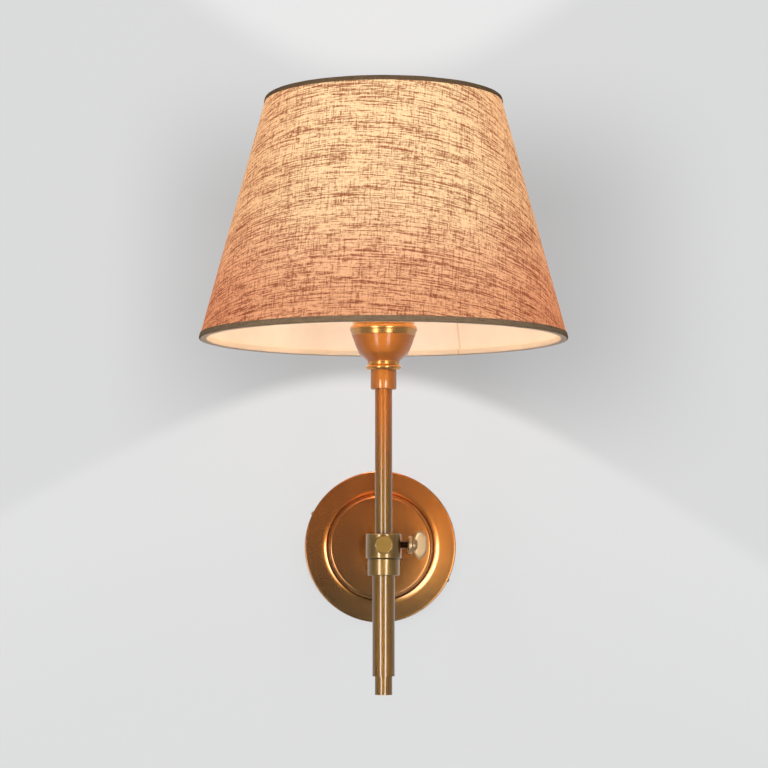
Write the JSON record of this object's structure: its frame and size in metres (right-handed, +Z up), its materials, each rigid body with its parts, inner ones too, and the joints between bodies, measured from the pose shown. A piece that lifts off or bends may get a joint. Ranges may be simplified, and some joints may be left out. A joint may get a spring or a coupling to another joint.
{
  "type": "wall light",
  "caption": "Wall light with a height-adjustable stem: round wall plate, short fixed arm, clamp block with wing screw and tapered fabric shade.",
  "frame": {"origin": "centre of the wall bracket's back face, on the arm's axis, in the plane of the wall", "axes": "+Y points into the wall, so the lamp reaches out along -Y; +Z is up along the stem; the wing screw is on +X"},
  "size_m": [0.2566, 0.2683, 0.4144],
  "materials": {
    "aged_brass": "polished, aged to a mid-brown bronze",
    "plate_brass": "polished, aged, with a finely brushed disc",
    "bright_brass": "plain turned brass",
    "zinc_steel": "zinc plated",
    "dark_steel": "blackened steel thread",
    "nylon": "moulded nylon",
    "ceramic": "glazed porcelain",
    "bulb_insulator": "black glass insulator with a solder tip",
    "bulb_glass": "frosted",
    "linen": "slubbed plain-weave linen, lit from inside",
    "lining": "smooth translucent lining",
    "trim_tape": "rolled cloth tape, grey olive",
    "white_wire": "white powder coat"
  },
  "bodies": {
    "wall_mount": {"backplate": "plate_brass", "wall_bracket": "zinc_steel", "side_screws": "dark_steel", "earth_screw": "bright_brass", "terminal_block": "nylon", "arm_tube": "aged_brass", "arm_rosette": "aged_brass", "arm_washer": "zinc_steel", "arm_nut": "bright_brass", "clamp_block": "aged_brass", "front_cap": "aged_brass", "flex_bush": "nylon", "tube_collar": "aged_brass", "guide_tube": "aged_brass", "tube_bush": "nylon"},
    "lamp_head": {"stem_tube": "aged_brass", "stem_plug": "aged_brass", "ferrule": "aged_brass", "neck_ring": "aged_brass", "lampholder_cup": "aged_brass", "cup_rim": "aged_brass", "nipple": "bright_brass", "nipple_nuts": "bright_brass", "holder_shell": "bright_brass", "socket_body": "ceramic", "screw_shell": "bright_brass", "centre_contact": "bright_brass", "shade_nut": "bright_brass", "shade_cover": "linen", "shade_lining": "lining", "shade_hoop": "white_wire", "fitter_frame": "white_wire", "bottom_trim": "trim_tape", "top_trim": "trim_tape"},
    "screw_pad": {"clamp_pad": "nylon"},
    "wing_screw": {"wing_screw_shank": "dark_steel", "wing_screw_head": "aged_brass"},
    "bulb_foot": {"bulb_tip": "bulb_insulator"},
    "bulb": {"bulb_glass": "bulb_glass", "bulb_cap": "bright_brass"}
  },
  "joints": [
    {"name": "stem_slide", "type": "slide", "parent": "wall_mount", "child": "lamp_head", "axis": [0, 0, 1], "range_m": [-0.085, 0.075]},
    {"name": "wing_screw_travel", "type": "slide", "parent": "wall_mount", "child": "screw_pad", "axis": [1, 0, 0], "range_m": [0, 0.0016]},
    {"name": "wing_screw_turn", "type": "hinge", "parent": "screw_pad", "child": "wing_screw", "pos_m": [0, -0.14, 0], "axis": [1, 0, 0], "range_deg": [0, 720]},
    {"name": "bulb_lift", "type": "slide", "parent": "lamp_head", "child": "bulb_foot", "axis": [0, 0, 1], "range_m": [0, 0.01815]},
    {"name": "bulb_turn", "type": "hinge", "parent": "bulb_foot", "child": "bulb", "pos_m": [0, -0.14, 0.2], "axis": [0, 0, 1], "range_deg": [0, 1800]}
  ],
  "couplings": [
    {"joint": "wing_screw_travel", "follows": "wing_screw_turn", "m_per_rad": 0.0001273},
    {"joint": "bulb_lift", "follows": "bulb_turn", "m_per_rad": 0.0005777}
  ]
}
